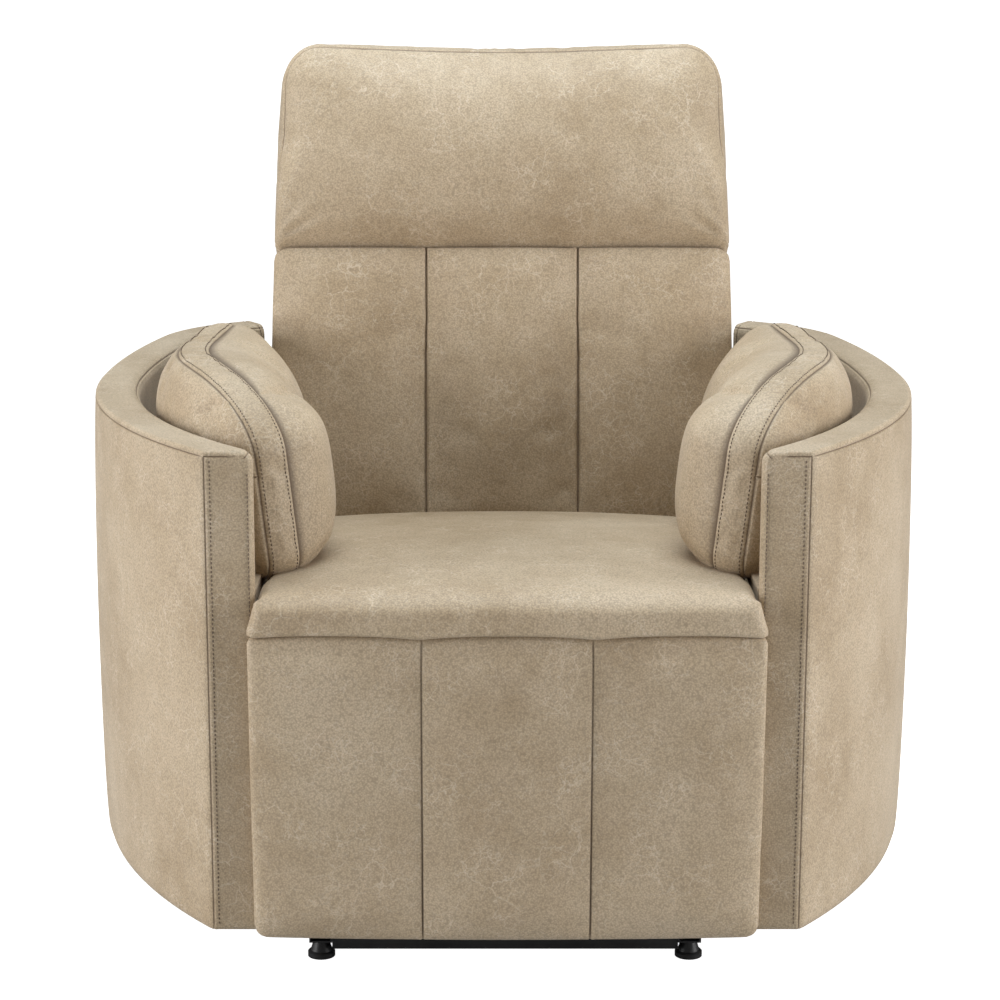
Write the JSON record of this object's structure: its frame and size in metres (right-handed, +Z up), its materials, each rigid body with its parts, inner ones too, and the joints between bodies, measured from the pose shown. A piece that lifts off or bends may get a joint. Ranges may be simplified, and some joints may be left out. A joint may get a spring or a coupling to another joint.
{
  "type": "glider recliner chair",
  "caption": "Barrel-shaped upholstered glider recliner with curved arm shells, loose arm cushions, channelled back and footrest, tilting headrest and a black steel glide base.",
  "frame": {"origin": "on the floor under the middle of the chair's outline", "axes": "+Z up, +Y towards the rear, +X to the chair's other side; the sitter faces -Y"},
  "size_m": [0.956, 0.9499, 0.9634],
  "materials": {
    "upholstery_leather": "matte",
    "timber": "matte",
    "black_steel": "satin",
    "zinc_steel": "satin",
    "black_plastic": "matte",
    "webbing_cloth": "matte"
  },
  "bodies": {
    "base": {"base_rail_left": "black_steel", "base_rail_right": "black_steel", "base_crossbar_front": "black_steel", "base_crossbar_rear": "black_steel", "glide_tower_left": "black_steel", "glide_tower_right": "black_steel", "base_bolts": "zinc_steel", "upper_glide_pins": "zinc_steel", "levelling_feet": "black_plastic"},
    "front_links": {"glide_link_front_left": "black_steel", "glide_link_front_right": "black_steel"},
    "rear_links": {"glide_link_rear_left": "black_steel", "glide_link_rear_right": "black_steel"},
    "chassis": {"chassis_plate_left": "black_steel", "chassis_plate_right": "black_steel", "chassis_beam_front": "black_steel", "chassis_beam_rear": "black_steel", "tub_beam_front": "black_steel", "tub_beam_rear": "black_steel", "back_pivot_brackets": "black_steel", "footrest_brackets": "black_steel", "lower_glide_pins": "zinc_steel", "seat_springs": "zinc_steel", "seat_rail_left": "timber", "seat_rail_right": "timber", "seat_cross_rail_front": "timber", "seat_cross_rail_rear": "timber", "arm_core_left": "timber", "arm_core_right": "timber", "rear_panel_board": "timber", "arm_deck_left": "webbing_cloth", "arm_deck_right": "webbing_cloth", "seat_cushion": "upholstery_leather", "arm_cover_left": "upholstery_leather", "arm_cover_right": "upholstery_leather", "arm_cushion_left": "upholstery_leather", "arm_cushion_right": "upholstery_leather", "rear_panel": "upholstery_leather"},
    "backrest": {"back_cushion": "upholstery_leather", "back_stile_left": "timber", "back_stile_right": "timber", "back_rail_top": "timber", "back_rail_bottom": "timber", "back_webbing": "webbing_cloth", "back_outer_panel": "upholstery_leather", "back_pivot_arms": "black_steel", "back_pivot_pins": "zinc_steel", "headrest_straps": "black_steel"},
    "headrest": {"headrest_cushion": "upholstery_leather", "headrest_board": "timber", "headrest_rear_pad": "upholstery_leather", "headrest_hinge_ears": "black_steel", "headrest_hinge_pins": "zinc_steel"},
    "footrest": {"footrest_cushion": "upholstery_leather", "footrest_board": "timber", "footrest_rear_cover": "upholstery_leather", "footrest_hinge_ears": "black_steel", "footrest_hinge_pins": "zinc_steel"}
  },
  "joints": [
    {"name": "glide_front", "type": "hinge", "parent": "base", "child": "front_links", "pos_m": [0, -0.13, 0.251], "axis": [1, 0, 0], "range_deg": [-16, 16]},
    {"name": "glide_rear", "type": "hinge", "parent": "base", "child": "rear_links", "pos_m": [0, 0.13, 0.251], "axis": [1, 0, 0], "range_deg": [-16, 16]},
    {"name": "chassis_level", "type": "hinge", "parent": "front_links", "child": "chassis", "pos_m": [0, -0.13, 0.096], "axis": [1, 0, 0], "range_deg": [-16, 16]},
    {"name": "back_recline", "type": "hinge", "parent": "chassis", "child": "backrest", "pos_m": [0, 0.0735, 0.3875], "axis": [-1, 0, 0], "range_deg": [0, 45]},
    {"name": "headrest_tilt", "type": "hinge", "parent": "backrest", "child": "headrest", "pos_m": [0, 0.17097, 0.79797], "axis": [1, 0, 0], "range_deg": [0, 30]},
    {"name": "footrest_lift", "type": "hinge", "parent": "chassis", "child": "footrest", "pos_m": [0, -0.445, 0.362], "axis": [-1, 0, 0], "range_deg": [0, 85]}
  ],
  "couplings": [
    {"joint": "glide_rear", "follows": "glide_front", "ratio": 1},
    {"joint": "chassis_level", "follows": "glide_front", "ratio": -1}
  ]
}
